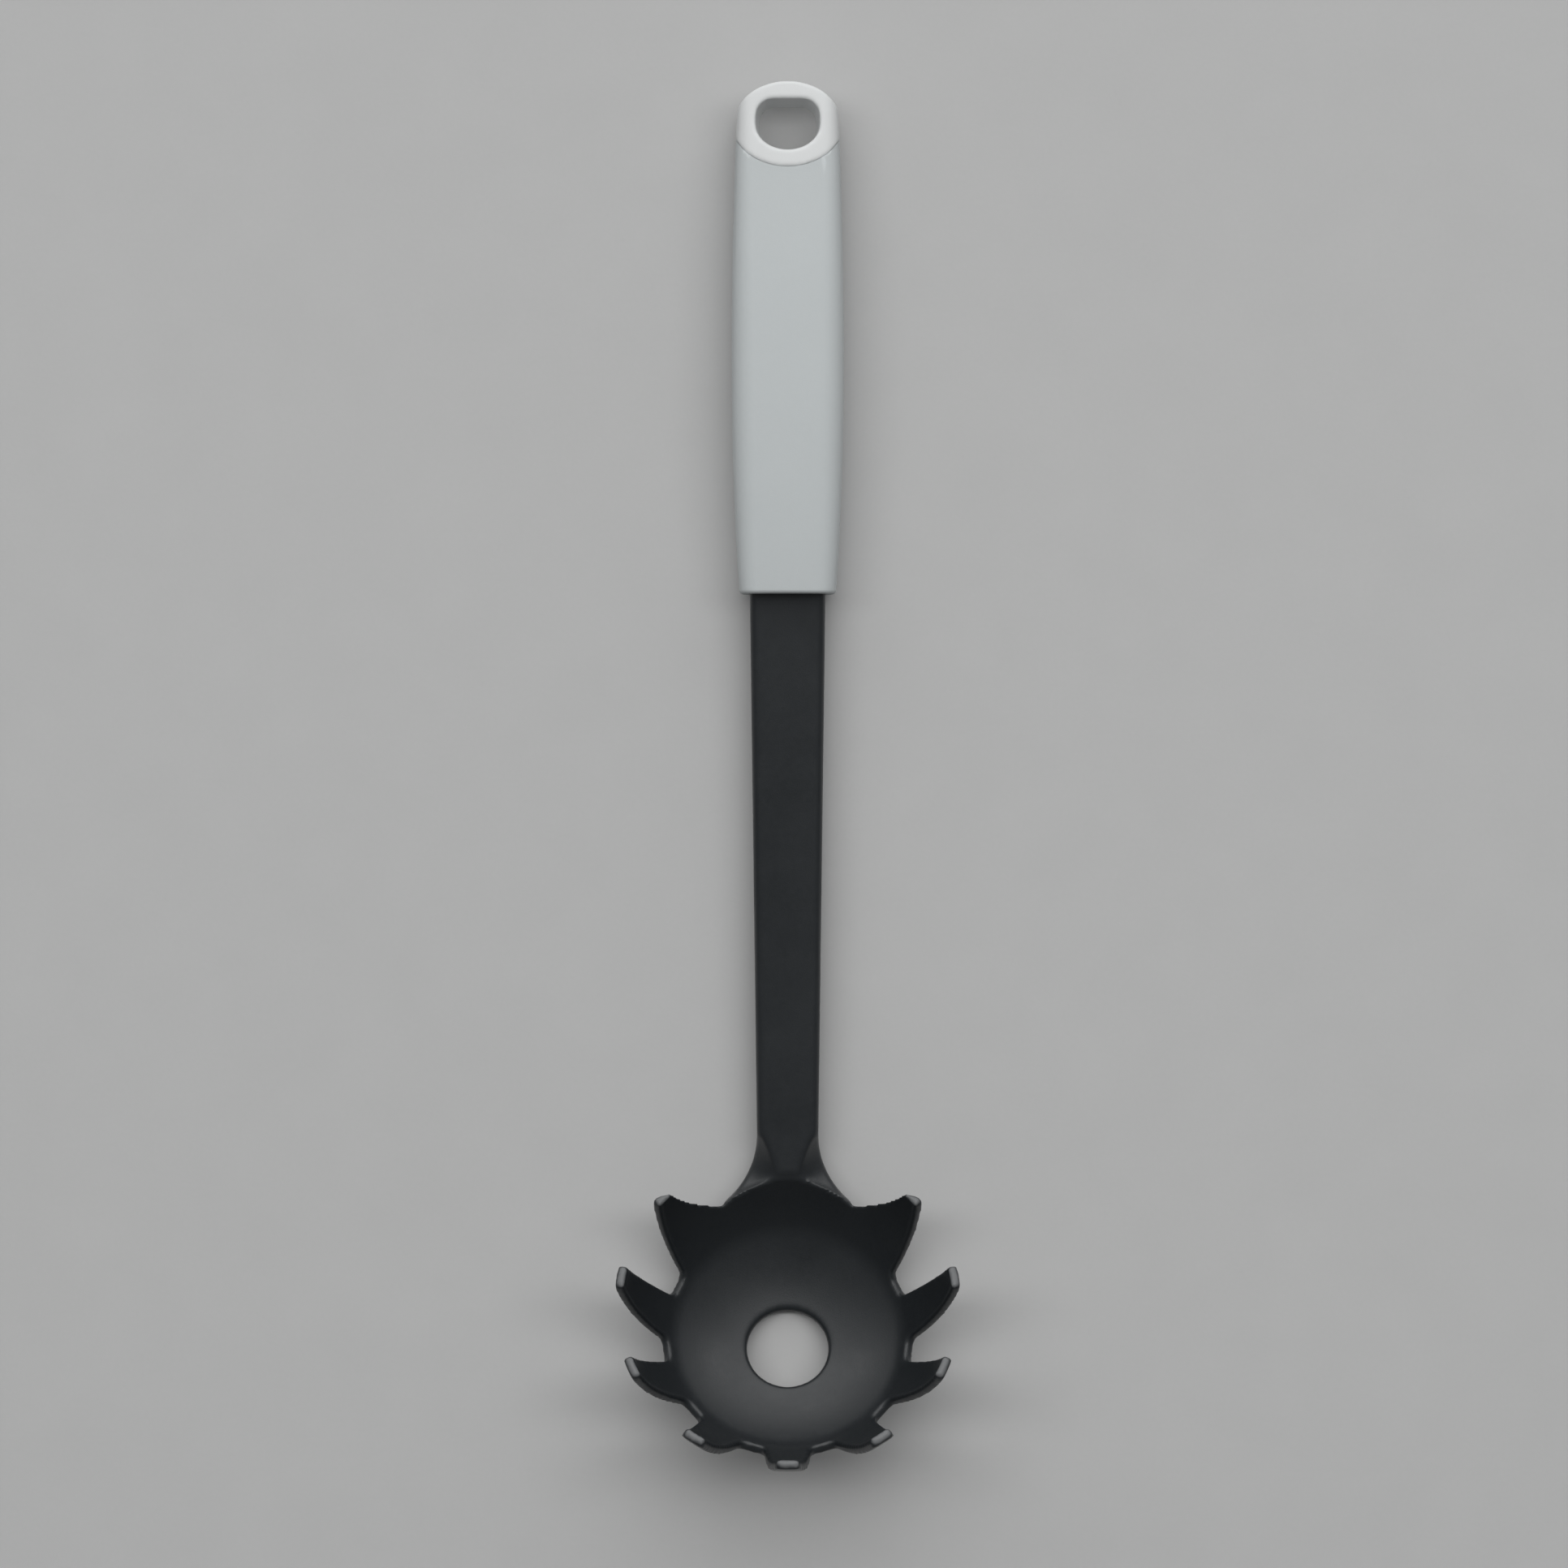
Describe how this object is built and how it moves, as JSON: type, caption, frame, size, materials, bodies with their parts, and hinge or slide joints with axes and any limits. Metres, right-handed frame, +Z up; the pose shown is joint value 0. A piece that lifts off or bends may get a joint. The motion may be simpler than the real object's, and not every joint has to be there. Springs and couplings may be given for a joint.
{
  "type": "pasta server",
  "caption": "Long pasta server with a tilted round bowl edged by flared teeth, a drain and portion hole, a flat stem and a soft-grip handle with a hanging eye.",
  "frame": {"origin": "middle of the plan outline, on the surface that the tool lies on", "axes": "+Z up out of the bowl's open side, +Y along the tool towards the hanging eye, +X across it"},
  "size_m": [0.0764, 0.3074, 0.0507],
  "materials": {
    "black_nylon": "fine matt moulded nylon with a soft sheen",
    "white_core": "satin off-white moulded plastic",
    "grey_grip": "pale grey soft-touch moulded elastomer, matt"
  },
  "bodies": {
    "root": {"server_head": "black_nylon", "handle_core": "white_core", "grip_sleeve": "grey_grip"}
  },
  "joints": []
}
